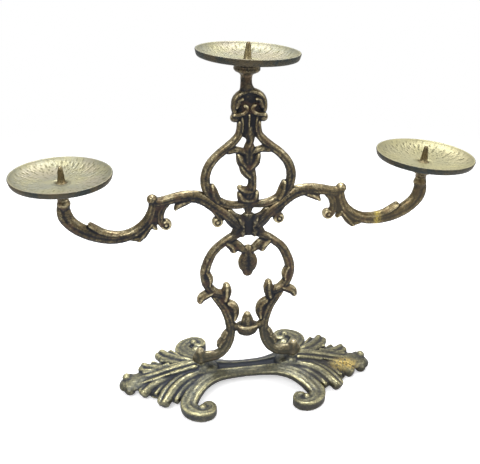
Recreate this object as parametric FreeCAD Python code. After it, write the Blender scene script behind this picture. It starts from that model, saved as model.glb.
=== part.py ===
import FreeCAD
import Part
import math
import os

from FreeCAD import Placement, Rotation, Vector

# All lengths in millimetres. Origin on the floor under the middle of the stem,
# +X to the viewer's right, +Y to the back, +Z up.

# Threads, fits and cutting allowance
SHANK_RADIUS = 2.5
RUNNING_CLEARANCE = 0.05
FACE_CLEARANCE = 0.05
DOWEL_RADIUS = 1.2
CUT_OVERRUN = 2.0

# Base casting
PAD_X = 54.0
PAD_HEIGHT = 33.0
PAD_RADIUS = 13.0
PAD_UNDERSIDE = 9.0
BAND_HALF_LENGTH = 40.0
BAND_HALF_DEPTH = 16.4
BAND_HEIGHT = 18.4
LEAF_REACH = 145.0
LEAF_HALF_DEPTH = 41.0
RIB_HALF_WIDTH = 13.0
LOBE_HALF_WIDTH = 8.5
FOOT_X = 60.0
FOOT_Y = 53.0
FOOT_EYE_RADIUS = 4.0
FOOT_HALF_WIDTH = 9.2
TIP_ROLL_RADIUS = 7.0
TIP_ROLL_LENGTH = 16.0

# Lyre casting
LYRE_HEIGHT = 183.0
HEAD_HEIGHT = 34.0
HEAD_HALF_WIDTH = 13.0
SCROLL_HALF_WIDTH = 46.5
SCROLL_DROP = 75.0
SCROLL_STRAND = 4.3
STRAND_HALF_DEPTH = 5.0
LEG_DROP = 82.0
LEG_STRAND = 4.8
LEG_PAD_RADIUS = 6.5
LEG_PAD_HEIGHT = 10.0
DROP_LENGTH = 35.0
DROP_HALF_WIDTH = 10.0
BOWL_HALF_WIDTH = 16.0
BOWL_RISE = 36.0
BOWL_STRAND = 6.5
BUD_HEIGHT = 24.0
BUD_RADIUS = 6.0

# Ring casting
RING_LIFT = 8.0
RING_HALF_WIDTH = 44.5
RING_HEIGHT = 82.0
RING_STRAND = 4.2
RING_HALF_DEPTH = 4.6
SPRAY_HALF_WIDTH = 12.5
NECK_HEIGHT = 50.0
NECK_HALF_WIDTH = 16.5
SPIGOT_RADIUS = 5.1
NECK_BEAD_RADIUS = 4.8

# Arms
ARM_SPAN = 141.0
ARM_RISE = 27.0
ARM_STRAND = 6.0
ARM_HALF_DEPTH = 5.6
KNOB_RADIUS = 5.0
VOLUTE_RADIUS = 5.3
COLLAR_RADIUS = 7.6
COLLAR_HALF_HEIGHT = 5.0
LEFT_LEAN = 1.5
RIGHT_LEAN = 3.6
TOP_LEAN = 3.3
TOP_SHIFT = -3.0

# Cups, pans and prickets
CUP_HEIGHT = 15.0
CUP_RADIUS = 13.0
CUP_SEAT_RADIUS = 11.0
CUP_NECK_RADIUS = 5.6
PAN_RADIUS = 50.0
PAN_HEIGHT = 11.5
PAN_RIM_WALL = 6.5
PAN_RIM_WIDTH = 1.8
PAN_THICKNESS = 2.4
PAN_SEAT_RADIUS = 16.0
FLANGE_RADIUS = 6.0
FLANGE_HEIGHT = 1.4
FLANGE_SINK = 1.4
SPIKE_HEIGHT = 18.0
SPIKE_BASE_RADIUS = 3.9
SPIKE_TIP_RADIUS = 2.0
THREAD_DEPTH = 15.0

# Ties and fasteners
STUD_REACH = 15.0
DOWEL_LENGTH = 13.0
SCREW_HEAD_RADIUS = 4.2
SCREW_HEAD_HEIGHT = 3.2
WASHER_RADIUS = 4.6
WASHER_THICKNESS = 1.0
COUNTERBORE_RADIUS = 5.0
SCREW_BITE = 8.0

# Levels that follow from the sizes above
JOINT_Z = PAD_HEIGHT + LYRE_HEIGHT
HEAD_Z = JOINT_Z - HEAD_HEIGHT * 0.7
RING_Z = JOINT_Z + RING_LIFT
NECK_Z = RING_Z + RING_HEIGHT
SPIGOT_Z = NECK_Z + NECK_HEIGHT
ARM_END_X = RING_HALF_WIDTH + ARM_SPAN
ARM_END_Z = JOINT_Z + ARM_RISE

# Hand-drawn lines of the strands, each as shares of the sizes they follow
RING_SHARES = [(0.0, 0.01, 0.9), (0.27, 0.0, 0.9), (0.5, 0.02, 0.95), (0.7, 0.07, 1.0),
               (0.86, 0.14, 1.05), (0.96, 0.23, 1.1), (1.0, 0.34, 1.1), (0.98, 0.45, 1.05),
               (0.89, 0.56, 1.0), (0.73, 0.665, 1.0), (0.54, 0.75, 1.0), (0.36, 0.835, 0.95),
               (0.215, 0.92, 0.95), (0.165, 1.0, 0.95)]
STRUT_SHARES = [(0.42, 0.765, 0.6), (0.22, 0.725, 0.6), (0.0, 0.71, 0.6)]
RING_LEAF_SHARES = [(0.75, 0.09, 1.0), (0.82, 0.17, 1.05), (0.84, 0.25, 0.93)]
SPRAY_SHARES = [(0.0, 0.0, 0.48), (0.08, 0.0, 0.55), (0.14, 0.0, 0.85), (0.21, -0.04, 0.92),
                (0.28, -0.1, 0.75), (0.35, 0.3, 0.4), (0.42, 0.3, 0.36), (0.5, 0.1, 0.55),
                (0.57, -0.08, 0.82), (0.65, -0.08, 1.0), (0.7, 0.0, 0.75), (0.75, 0.0, 0.42),
                (0.85, 0.06, 0.4), (1.0, 0.0, 0.5)]
NECK_SHARES = [(0.0, 0.72), (0.12, 0.74), (0.24, 0.82), (0.35, 0.88), (0.46, 1.0), (0.56, 0.99),
               (0.65, 0.76), (0.74, 0.42)]
HEAD_SHARES = [(0.0, 0.65), (0.15, 0.95), (0.33, 1.0), (0.5, 0.93), (0.68, 0.7),
               (0.85, 0.5), (1.0, 0.46)]
SCROLL_SHARES = [(0.12, -0.01, 0.95), (0.39, 0.07, 0.9), (0.6, 0.16, 0.9), (0.8, 0.28, 0.95),
                 (0.925, 0.43, 1.0), (1.0, 0.585, 1.05), (0.99, 0.735, 1.05),
                 (0.915, 0.86, 1.05), (0.775, 0.955, 1.05), (0.61, 0.985, 1.0),
                 (0.54, 0.98, 1.0)]
SCROLL_BUD_SHARES = [(0.538, 1.07, 1.07), (0.508, 0.99, 1.2), (0.5, 0.91, 1.16),
                     (0.5, 0.852, 0.8)]
SCROLL_LEAF_SHARES = [(0.86, 0.943, 1.07), (1.0, 0.989, 1.26), (1.108, 1.04, 1.02),
                      (1.146, 1.067, 0.7)]
SCROLL_BARB_SHARES = [(0.963, 0.596, 0.7), (0.895, 0.703, 0.93), (0.9, 0.803, 0.7)]
LEG_SHARES = [(0.66, 1.0, 0.85), (0.55, 0.895, 0.9), (0.45, 0.78, 0.95), (0.38, 0.64, 1.0),
              (0.343, 0.505, 1.0), (0.35, 0.38, 1.0), (0.39, 0.26, 1.0), (0.48, 0.14, 1.0),
              (0.63, 0.07, 1.0), (0.82, 0.06, 1.0), (1.04, 0.065, 0.95), (1.12, 0.12, 0.6)]
LEG_INNER_LEAF_SHARES = [(0.38, 0.884, 0.83), (0.293, 0.823, 1.13), (0.263, 0.726, 1.08),
                         (0.274, 0.628, 0.67)]
LEG_OUTER_LEAF_SHARES = [(0.435, 0.402, 0.63), (0.49, 0.335, 0.83), (0.565, 0.262, 0.88),
                         (0.593, 0.205, 0.67)]
DROP_SHARES = [(0.1, 0.58), (0.19, 0.88), (0.32, 1.03), (0.46, 1.05), (0.6, 0.9), (0.74, 0.64),
               (0.86, 0.52), (1.0, 0.42)]
DROP_WING_SHARES = [(0.44, 0.163, 0.75), (0.3, 0.23, 0.95), (0.15, 0.276, 0.8),
                    (0.0, 0.3, 0.8)]
WING_LEAF_SHARES = [(0.41, 0.17, 1.0), (0.37, 0.275, 0.98)]
BOWL_SHARES = [(-1.0, 1.12, 0.6), (-0.5, 1.0, 0.9), (0.0, 0.97, 1.0), (0.5, 1.0, 0.9),
               (1.0, 1.12, 0.6)]
BUD_SHARES = [(0.0, 1.0), (0.4, 0.95), (0.75, 0.65), (0.9, 0.4)]
ARM_TAIL_SHARES = [(0.225, -0.28, 0.77), (0.371, -0.2, 0.87), (0.562, -0.104, 1.03),
                   (0.764, -0.015, 1.07), (0.955, 0.073, 1.1), (1.135, 0.134, 1.15)]
ARM_BRANCH_SHARES = [(0.096, 0.752, 1.08), (0.16, 0.737, 1.03), (0.223, 0.696, 0.9),
                     (0.273, 0.641, 0.78), (0.33, 0.648, 0.73), (0.376, 0.722, 0.72)]
ARM_HOOK_SHARES = [(0.377, 0.667, 0.73), (0.382, 0.407, 0.8), (0.399, 0.13, 0.87),
                   (0.429, -0.148, 0.97), (0.472, -0.36, 1.0), (0.521, -0.511, 1.0),
                   (0.578, -0.615, 1.0), (0.65, -0.667, 1.03), (0.734, -0.637, 1.1),
                   (0.826, -0.511, 1.17), (0.901, -0.311, 1.2), (0.959, -0.059, 1.2),
                   (0.996, 0.244, 1.18)]
ARM_LEAF_SHARES = [(0.585, -0.463, 0.5), (0.663, -0.389, 0.63), (0.748, -0.267, 0.7),
                   (0.805, -0.126, 0.57), (0.837, -0.037, 0.4)]
HANGING_SHARES = [(0.358, 0.556, 0.67), (0.339, 0.296, 0.7), (0.344, 0.056, 0.7),
                  (0.341, -0.185, 0.67), (0.319, -0.341, 0.57)]
HANGING_BALL_SHARES = (0.289, -0.326)
TAIL_CURL_SHARES = [(0.82, -0.03, 0.6), (0.73, -0.12, 0.62), (0.7, -0.19, 0.6)]
TAIL_BALL_SHARES = (0.69, -0.21)
ARM_LOBE_SHARES = [[(0.195, 0.593, 0.77), (0.213, 0.389, 0.63), (0.222, 0.293, 0.37)],
                   [(0.369, -0.37, 0.6), (0.36, -0.544, 0.4)],
                   [(0.482, -0.481, 0.83), (0.496, -0.685, 0.87), (0.514, -0.878, 0.67)]]
KNOB_SHARES = (0.382, 0.755)
PLATE_SHARES = [(0.3, 0.0, 0.85), (0.455, 0.0, 1.08), (0.634, 0.0, 1.0), (0.8, 0.0, 0.77),
                (0.924, 0.0, 0.62)]
RIDGE_SHARES = [(0.4, 0.0, 0.7), (0.566, 0.0, 0.75), (0.717, 0.0, 0.72), (0.855, 0.0, 0.6),
                (0.924, 0.0, 0.55)]
LOBE_SHARES = [[(0.386, 0.171, 0.88), (0.483, 0.317, 0.96), (0.572, 0.5, 0.94),
                (0.641, 0.695, 0.82), (0.679, 0.854, 0.7)],
               [(0.579, 0.122, 0.82), (0.669, 0.183, 0.87), (0.752, 0.256, 0.8),
                (0.817, 0.366, 0.68)],
               [(0.566, 0.195, 0.58), (0.655, 0.293, 0.61), (0.731, 0.427, 0.54)]]
LOW_LOBE_SHARES = [(0.386, 0.293, 0.68), (0.462, 0.427, 0.72), (0.531, 0.561, 0.7),
                   (0.583, 0.707, 0.61)]
FOOT_BAND_SHARES = [(0.6, 0.245, 0.87), (0.8, 0.35, 0.91), (0.967, 0.5, 0.98),
                    (1.1, 0.68, 1.02), (1.167, 0.85, 1.0), (1.13, 1.01, 0.87),
                    (1.0, 1.132, 0.65)]
FOOT_CURL_SHARES = [(1.0, 1.132, 0.65), (0.85, 1.123, 0.54), (0.777, 1.02, 0.5),
                    (0.822, 0.92, 0.435), (0.91, 0.943, 0.37)]
FOOT_EYE_SHARES = (0.947, 1.057)
FOOT_TOP_SHARES = [(0.0, 0.7), (0.245, 0.62), (0.35, 0.615), (0.5, 0.55), (0.68, 0.465),
                   (0.85, 0.415), (1.3, 0.406)]
FOOT_UNDER_SHARES = [(0.0, 0.33), (0.25, 0.33), (0.5, 0.24), (0.68, 0.12), (0.82, 0.0),
                     (1.3, 0.0)]
LEAF_TOP_SHARES = [(0.0, 0.86), (0.12, 0.85), (0.2, 0.77), (0.275, 0.645), (0.37, 0.52),
                   (0.44, 0.41), (0.52, 0.345), (0.62, 0.35), (1.0, 0.36)]
RIDGE_TOP_SHARES = [(0.0, 0.9), (0.2, 0.8), (0.365, 0.61), (0.515, 0.455), (0.61, 0.42),
                    (1.0, 0.42)]
LOW_TOP_SHARES = [(0.0, 0.75), (0.165, 0.665), (0.246, 0.533), (0.318, 0.4), (0.37, 0.33),
                  (1.0, 0.3)]
LEAF_UNDER_SHARES = [(0.0, 0.3), (0.1, 0.33), (0.2, 0.36), (0.29, 0.32), (0.37, 0.2),
                     (0.44, 0.11), (0.52, 0.08), (1.0, 0.08)]
BAND_SECTION_SHARES = [(-1.0, 0.4), (-1.0, 0.6), (-0.25, 1.0), (0.0, 0.82), (0.25, 1.0),
                       (1.0, 0.6), (1.0, 0.4), (0.45, 0.6), (-0.45, 0.6)]


def strand(points, half_widths):
    """Flat face of a strand: two smooth edges along a centre line, closed by round ends."""
    line = Part.BSplineCurve()
    line.interpolate(Points=points)
    normal = Vector(0, 0, 1)
    left = []
    right = []
    for point, half_width in zip(points, half_widths):
        tangent = Vector(*line.tangent(line.parameter(point))[0])
        side = normal.cross(tangent).normalize() * half_width
        left.append(point + side)
        right.append(point - side)
    edges = []
    for edge_points in (left, right):
        curve = Part.BSplineCurve()
        curve.interpolate(Points=edge_points)
        edges.append(curve.toShape())
    for end, inner in ((0, 1), (-1, -2)):
        outward = (points[end] - points[inner]).normalize() * half_widths[end]
        edges.append(Part.Arc(left[end], points[end] + outward, right[end]).toShape())
    return Part.Face(Part.Wire(Part.__sortEdges__(edges)))


def disc(x, y, radius):
    return Part.Face(Part.Wire(Part.makeCircle(radius, Vector(x, y, 0))))


def drawn(shares, place, size):
    """Strand face from a table of shares; place turns two shares into a point."""
    points = [Vector(*place(share[0], share[1]), 0) for share in shares]
    return strand(points, [size * share[2] for share in shares])


def upright(shares, low, height, half_width, shift=0):
    """Strand face up the stem's middle from (height, half width) shares."""
    points = [Vector(shift, low + height * share[0], 0) for share in shares]
    return strand(points, [half_width * share[1] for share in shares])


def joined(faces):
    """One flat face from overlapping flat faces, all turned to face the same way."""
    for face in faces:
        if face.normalAt(0, 0).z < 0:
            face.reverse()
    return faces[0].multiFuse(faces[1:]).removeSplitter()


def mirrored_x(solid):
    return solid.mirror(Vector(0, 0, 0), Vector(1, 0, 0))


def mirrored_y(solid):
    return solid.mirror(Vector(0, 0, 0), Vector(0, 1, 0))


def both_sides(shapes):
    return shapes + [mirrored_x(shape) for shape in shapes]


def slab(face, half_depth):
    """Flat face, drawn in X and Z, made into a slab of the stem's plane."""
    stood = face.copy()
    stood.rotate(Vector(0, 0, 0), Vector(1, 0, 0), 90)
    stood.translate(Vector(0, half_depth, 0))
    solids = [part.extrude(Vector(0, -2 * half_depth, 0)) for part in stood.Faces]
    return solids[0] if len(solids) == 1 else solids[0].multiFuse(solids[1:])


def fused(solids):
    return solids[0].multiFuse(solids[1:]).removeSplitter()


def turned(profile):
    """Solid of revolution about Z from (radius, height) corners."""
    corners = [Vector(radius, 0, z) for radius, z in profile]
    face = Part.Face(Part.makePolygon(corners + corners[:1]))
    return face.revolve(Vector(0, 0, 0), Vector(0, 0, 1), 360)


def rod(radius, low, high):
    return Part.makeCylinder(radius, high - low, Vector(0, 0, low))


def holder_place(x, z, lean):
    """Where a cup, pan and pricket stand: base point of the cup and sideways lean."""
    return Placement(Vector(x, 0, z), Rotation(Vector(0, 1, 0), lean))


def placed(solid, place):
    copy = solid.copy()
    copy.Placement = place
    return copy


def smooth_edge(points):
    curve = Part.BSplineCurve()
    curve.interpolate(Points=points)
    return curve.toShape()


def between_lines(top, under):
    """Flat face between a smooth top line and a smooth underside."""
    edges = [smooth_edge(top), smooth_edge(under)]
    edges.append(Part.makeLine(under[-1], top[-1]))
    edges.append(Part.makeLine(under[0], top[0]))
    return Part.Face(Part.Wire(Part.__sortEdges__(edges)))


def leaf_dome(top_shares):
    """Arched shell round a pad, from which the leaf and its lobes get their height."""
    reach = LEAF_REACH + LEAF_HALF_DEPTH - PAD_X
    top = [Vector(reach * d, 0, PAD_HEIGHT * z) for d, z in top_shares]
    under = [Vector(reach * d, 0, PAD_HEIGHT * z) for d, z in LEAF_UNDER_SHARES]
    dome = between_lines(top, under).revolve(Vector(0, 0, 0), Vector(0, 0, 1), 360)
    dome.translate(Vector(PAD_X, 0, 0))
    return dome


def raised(faces, shell):
    """Plan faces stood up as high as the shell that trims them."""
    plan = joined(faces)
    return plan.Faces[0].extrude(Vector(0, 0, PAD_HEIGHT)).common(shell)


def scroll_foot():
    """Front right foot: a broad band from the middle that curls up on the floor."""
    def place(x, y):
        return FOOT_X * x, -FOOT_Y * y

    def profile(shares):
        return [Vector(0, -FOOT_Y * y, PAD_HEIGHT * z) for y, z in shares]

    faces = [drawn(shares, place, FOOT_HALF_WIDTH)
             for shares in (FOOT_BAND_SHARES, FOOT_CURL_SHARES)]
    faces.append(disc(*place(*FOOT_EYE_SHARES), FOOT_EYE_RADIUS))
    ramp = between_lines(profile(FOOT_TOP_SHARES), profile(FOOT_UNDER_SHARES))
    return raised(faces, ramp.extrude(Vector(2 * FOOT_X, 0, 0)))


def base_side():
    def place(x, y):
        return LEAF_REACH * x, -LEAF_HALF_DEPTH * y

    lobes = [drawn(shares, place, LOBE_HALF_WIDTH) for shares in LOBE_SHARES]
    lobes += [mirrored_y(lobe) for lobe in lobes]
    lobes.append(drawn(PLATE_SHARES, place, RIB_HALF_WIDTH))
    lobes.append(disc(PAD_X, 0, PAD_RADIUS))
    leaf = raised(lobes, leaf_dome(LEAF_TOP_SHARES))
    ridge = raised([drawn(RIDGE_SHARES, place, RIB_HALF_WIDTH)], leaf_dome(RIDGE_TOP_SHARES))
    low_lobe = raised([drawn(LOW_LOBE_SHARES, place, LOBE_HALF_WIDTH)],
                      leaf_dome(LOW_TOP_SHARES))
    pad = Part.makeCylinder(PAD_RADIUS, PAD_HEIGHT - PAD_UNDERSIDE,
                            Vector(PAD_X, 0, PAD_UNDERSIDE))
    roll = Part.makeCylinder(TIP_ROLL_RADIUS, TIP_ROLL_LENGTH,
                             Vector(LEAF_REACH - TIP_ROLL_RADIUS, -TIP_ROLL_LENGTH / 2,
                                    TIP_ROLL_RADIUS), Vector(0, 1, 0))
    foot = scroll_foot()
    return fused([leaf, ridge, low_lobe, mirrored_y(low_lobe), pad, roll, foot,
                  mirrored_y(foot)])


def base_band():
    """Moulded band between the pads: a trough between two sloping faces."""
    corners = [Vector(-BAND_HALF_LENGTH, BAND_HALF_DEPTH * y, BAND_HEIGHT * z)
               for y, z in BAND_SECTION_SHARES]
    face = Part.Face(Part.makePolygon(corners + corners[:1]))
    return face.extrude(Vector(2 * BAND_HALF_LENGTH, 0, 0))


def base_casting():
    side = base_side()
    casting = fused([base_band(), side, mirrored_x(side)])
    seat = PAD_HEIGHT - screw_grip()
    for x in (-PAD_X, PAD_X):
        hole = rod(SHANK_RADIUS + RUNNING_CLEARANCE, 0, PAD_HEIGHT + CUT_OVERRUN)
        well = rod(COUNTERBORE_RADIUS, -CUT_OVERRUN, seat)
        for cutter in (hole, well):
            cutter.translate(Vector(x, 0, 0))
            casting = casting.cut(cutter)
    return casting


def screw_grip():
    """Metal between the screw's washer and the leg: the pad less its counterbore."""
    return (PAD_HEIGHT - PAD_UNDERSIDE) / 2


def leg_screw_tip():
    return PAD_HEIGHT + SCREW_BITE


def lyre_faces():
    def near_head(x, z):
        return SCROLL_HALF_WIDTH * x, HEAD_Z - SCROLL_DROP * z

    def above_pad(x, z):
        return PAD_X * x, PAD_HEIGHT + LEG_DROP * z

    def on_bowl(x, z):
        return BOWL_HALF_WIDTH * x, PAD_HEIGHT + BOWL_RISE * z

    faces = [drawn(shares, near_head, SCROLL_STRAND) for shares in
             (SCROLL_SHARES, SCROLL_BUD_SHARES, SCROLL_LEAF_SHARES, SCROLL_BARB_SHARES,
              DROP_WING_SHARES, WING_LEAF_SHARES)]
    faces += [drawn(shares, above_pad, LEG_STRAND) for shares in
              (LEG_SHARES, LEG_INNER_LEAF_SHARES, LEG_OUTER_LEAF_SHARES)]
    faces = both_sides(faces)
    faces.append(drawn(BOWL_SHARES, on_bowl, BOWL_STRAND))
    faces.append(upright(BUD_SHARES, PAD_HEIGHT + BOWL_RISE, BUD_HEIGHT, BUD_RADIUS))
    drop_low = HEAD_Z - SCROLL_DROP * 0.21 - DROP_LENGTH
    faces.append(upright(DROP_SHARES, drop_low, DROP_LENGTH, DROP_HALF_WIDTH))
    faces.append(upright(HEAD_SHARES, JOINT_Z - HEAD_HEIGHT, HEAD_HEIGHT, HEAD_HALF_WIDTH))
    above = Part.makePlane(4 * HEAD_HEIGHT, HEAD_HEIGHT, Vector(-2 * HEAD_HEIGHT, JOINT_Z, 0))
    below = Part.makePlane(4 * PAD_X, PAD_HEIGHT, Vector(-2 * PAD_X, 0, 0))
    return joined(faces).cut([above, below])


def lyre_casting(faces):
    foot = Part.makeCylinder(LEG_PAD_RADIUS, LEG_PAD_HEIGHT, Vector(PAD_X, 0, PAD_HEIGHT))
    casting = fused([slab(faces, STRAND_HALF_DEPTH)] + both_sides([foot]))
    bore = SHANK_RADIUS + RUNNING_CLEARANCE
    casting = casting.cut(rod(bore, JOINT_Z - STUD_REACH, JOINT_Z + CUT_OVERRUN))
    for x in (-PAD_X, PAD_X):
        hole = rod(bore, PAD_HEIGHT - CUT_OVERRUN, leg_screw_tip())
        hole.translate(Vector(x, 0, 0))
        casting = casting.cut(hole)
    return casting


def ring_faces():
    def place(x, z):
        return RING_HALF_WIDTH * x, RING_Z + RING_HEIGHT * z

    half = RING_SHARES[1:]
    around = [(-x, z, w) for x, z, w in reversed(half)] + RING_SHARES
    faces = [drawn(around, place, RING_STRAND)]
    faces += both_sides([drawn(STRUT_SHARES, place, RING_STRAND),
                         drawn(RING_LEAF_SHARES, place, RING_STRAND)])
    rise = RING_LIFT + RING_HEIGHT
    points = [Vector(SPRAY_HALF_WIDTH * x, JOINT_Z + rise * z, 0) for z, x, w in SPRAY_SHARES]
    faces.append(strand(points, [SPRAY_HALF_WIDTH * w for z, x, w in SPRAY_SHARES]))
    faces.append(upright(NECK_SHARES, NECK_Z, NECK_HEIGHT, NECK_HALF_WIDTH))
    faces += both_sides([disc(NECK_HALF_WIDTH * 0.88, NECK_Z + NECK_HEIGHT * 0.22,
                              NECK_BEAD_RADIUS)])
    below = Part.makePlane(4 * RING_HEIGHT, RING_HEIGHT,
                           Vector(-2 * RING_HEIGHT, JOINT_Z - RING_HEIGHT, 0))
    return joined(faces).cut(below)


def ring_casting(faces):
    spigot = placed(rod(SPIGOT_RADIUS, -NECK_HEIGHT * 0.4, 0), top_place())
    casting = fused([slab(faces, RING_HALF_DEPTH), spigot])
    bore = SHANK_RADIUS + RUNNING_CLEARANCE
    casting = casting.cut(rod(bore, JOINT_Z - CUT_OVERRUN, JOINT_Z + STUD_REACH))
    return casting.cut(shank_bore(top_place()))


def shank_bore(place):
    """Tapped hole under a cup for the pricket's threaded shank."""
    return placed(rod(SHANK_RADIUS + RUNNING_CLEARANCE, -THREAD_DEPTH, CUT_OVERRUN), place)


def top_place():
    return holder_place(TOP_SHIFT, SPIGOT_Z, TOP_LEAN)


def left_place():
    return holder_place(-ARM_END_X, ARM_END_Z, LEFT_LEAN)


def right_place():
    return holder_place(ARM_END_X, ARM_END_Z, RIGHT_LEAN)


def arm_blank(lean, frame_faces):
    """Right-hand arm fitted against the stem; its end leans outward by lean."""
    def near(x, z):
        return RING_HALF_WIDTH * x, RING_Z + RING_HEIGHT * z

    def far(x, z):
        return RING_HALF_WIDTH + ARM_SPAN * x, JOINT_Z + ARM_RISE * z

    points = [Vector(*near(x, z), 0) for x, z, w in ARM_TAIL_SHARES]
    points += [Vector(*far(x, z), 0) for x, z, w in ARM_BRANCH_SHARES]
    faces = [strand(points, [ARM_STRAND * w for x, z, w in ARM_TAIL_SHARES + ARM_BRANCH_SHARES])]
    points = [Vector(*far(x, z), 0) for x, z, w in ARM_HOOK_SHARES]
    widths = [ARM_STRAND * w for x, z, w in ARM_HOOK_SHARES]
    axis = Vector(math.sin(math.radians(lean)), math.cos(math.radians(lean)), 0)
    end = Vector(ARM_END_X, ARM_END_Z, 0)
    points.append(end - axis * COLLAR_HALF_HEIGHT * 1.3)
    faces.append(strand(points, widths + [ARM_STRAND * 0.9]))
    for shares in [ARM_LEAF_SHARES, HANGING_SHARES] + ARM_LOBE_SHARES:
        faces.append(drawn(shares, far, ARM_STRAND))
    faces.append(drawn(TAIL_CURL_SHARES, near, ARM_STRAND))
    faces.append(disc(*far(*KNOB_SHARES), KNOB_RADIUS))
    faces.append(disc(*far(*HANGING_BALL_SHARES), VOLUTE_RADIUS))
    faces.append(disc(*near(*TAIL_BALL_SHARES), VOLUTE_RADIUS))
    flat = joined(faces).cut(frame_faces)
    largest = sorted(flat.Faces, key=lambda face: face.Area)[-1]
    collar = turned([(0, -2 * COLLAR_HALF_HEIGHT), (ARM_STRAND, -2 * COLLAR_HALF_HEIGHT),
                     (COLLAR_RADIUS, -1.4 * COLLAR_HALF_HEIGHT),
                     (COLLAR_RADIUS, -0.6 * COLLAR_HALF_HEIGHT), (ARM_STRAND, 0), (0, 0)])
    place = holder_place(ARM_END_X, ARM_END_Z, lean)
    return fused([slab(largest, ARM_HALF_DEPTH), placed(collar, place)]).cut(shank_bore(place))


def dowel_level():
    return RING_Z + RING_HEIGHT * 0.14


def dowel_start():
    return RING_HALF_WIDTH - 2 * RING_STRAND


def dowel(radius, length):
    return Part.makeCylinder(radius, length, Vector(dowel_start(), 0, dowel_level()),
                             Vector(1, 0, 0))


def cup():
    bore = SHANK_RADIUS + RUNNING_CLEARANCE
    return turned([(bore, 0), (CUP_NECK_RADIUS, 0), (CUP_NECK_RADIUS, CUP_HEIGHT * 0.2),
                   (CUP_RADIUS * 0.85, CUP_HEIGHT * 0.42), (CUP_RADIUS, CUP_HEIGHT * 0.6),
                   (CUP_RADIUS, CUP_HEIGHT * 0.92), (CUP_SEAT_RADIUS, CUP_HEIGHT),
                   (bore, CUP_HEIGHT)])


def pan():
    """Shallow dish: flat seat sunk for the flange, dished floor rising to an upright rim."""
    low = CUP_HEIGHT + FACE_CLEARANCE
    bore = SHANK_RADIUS + RUNNING_CLEARANCE
    recess = FLANGE_RADIUS + RUNNING_CLEARANCE
    rim_low = PAN_HEIGHT - PAN_RIM_WALL
    inner = PAN_RADIUS - PAN_RIM_WIDTH
    corners = [(bore, 0), (PAN_SEAT_RADIUS, 0), (PAN_RADIUS - PAN_RIM_WIDTH, rim_low),
               (PAN_RADIUS, PAN_HEIGHT), (inner, PAN_HEIGHT),
               (PAN_SEAT_RADIUS, PAN_THICKNESS), (recess, PAN_THICKNESS),
               (recess, PAN_THICKNESS - FLANGE_SINK), (bore, PAN_THICKNESS - FLANGE_SINK)]
    points = [Vector(radius, 0, low + z) for radius, z in corners]
    edges = [Part.makeLine(points[i], points[i + 1]) for i in (0, 1, 2, 3)]
    sag = Vector((inner + PAN_SEAT_RADIUS) * 0.56, 0, low + PAN_THICKNESS + PAN_RIM_WALL * 0.32)
    edges.append(Part.Arc(points[4], sag, points[5]).toShape())
    for i in (5, 6, 7):
        edges.append(Part.makeLine(points[i], points[i + 1]))
    edges.append(Part.makeLine(points[8], points[0]))
    return Part.Face(Part.Wire(edges)).revolve(Vector(0, 0, 0), Vector(0, 0, 1), 360)


def pricket():
    low = CUP_HEIGHT + PAN_THICKNESS - FLANGE_SINK + 2 * FACE_CLEARANCE
    return turned([(0, -THREAD_DEPTH + CUT_OVERRUN), (SHANK_RADIUS, -THREAD_DEPTH + CUT_OVERRUN),
                   (SHANK_RADIUS, low), (FLANGE_RADIUS, low),
                   (FLANGE_RADIUS * 0.9, low + FLANGE_HEIGHT),
                   (SPIKE_BASE_RADIUS, low + 1.6 * FLANGE_HEIGHT),
                   (SPIKE_TIP_RADIUS, low + SPIKE_HEIGHT - SPIKE_TIP_RADIUS * 0.5),
                   (SPIKE_TIP_RADIUS * 0.5, low + SPIKE_HEIGHT), (0, low + SPIKE_HEIGHT)])


def base_screw(x):
    seat = PAD_HEIGHT - screw_grip() - WASHER_THICKNESS
    screw = rod(SCREW_HEAD_RADIUS, seat - SCREW_HEAD_HEIGHT, seat)
    screw = screw.fuse(rod(SHANK_RADIUS, seat - SCREW_HEAD_HEIGHT / 2,
                           leg_screw_tip() - CUT_OVERRUN))
    screw.translate(Vector(x, 0, 0))
    return screw


def base_washer(x):
    seat = PAD_HEIGHT - screw_grip()
    washer = rod(WASHER_RADIUS, seat - WASHER_THICKNESS, seat)
    washer = washer.cut(rod(SHANK_RADIUS + RUNNING_CLEARANCE, 0, PAD_HEIGHT))
    washer.translate(Vector(x, 0, 0))
    return washer


def build():
    stem = [ring_faces(), lyre_faces()]
    pin_hole = dowel(DOWEL_RADIUS + RUNNING_CLEARANCE, DOWEL_LENGTH)
    parts = {
        "base_casting": base_casting(),
        "lyre_casting": lyre_casting(stem[1]),
        "ring_casting": ring_casting(stem[0]).cut(both_sides([pin_hole])),
        "left_arm": mirrored_x(arm_blank(-LEFT_LEAN, stem).cut(pin_hole)),
        "right_arm": arm_blank(RIGHT_LEAN, stem).cut(pin_hole),
        "right_arm_dowel": dowel(DOWEL_RADIUS, DOWEL_LENGTH),
        "left_arm_dowel": mirrored_x(dowel(DOWEL_RADIUS, DOWEL_LENGTH)),
        "crossing_stud": rod(SHANK_RADIUS, JOINT_Z - STUD_REACH + CUT_OVERRUN,
                             JOINT_Z + STUD_REACH - CUT_OVERRUN),
        "base_screws": Part.makeCompound([base_screw(-PAD_X), base_screw(PAD_X)]),
        "base_washers": Part.makeCompound([base_washer(-PAD_X), base_washer(PAD_X)]),
    }
    for name, place in (("top", top_place()), ("left", left_place()), ("right", right_place())):
        parts[name + "_cup"] = placed(cup(), place)
        parts[name + "_pan"] = placed(pan(), place)
        parts[name + "_pricket"] = placed(pricket(), place)
    return parts


os.makedirs("parts", exist_ok=True)
for node, shape in build().items():
    shape.exportStep("parts/" + node + ".step")
    print(node, len(shape.Solids), shape.isValid(), round(shape.Volume / 1000, 2), "cm3")
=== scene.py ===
import math

import bmesh
import bpy
import numpy
from mathutils import Matrix, Vector


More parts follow.
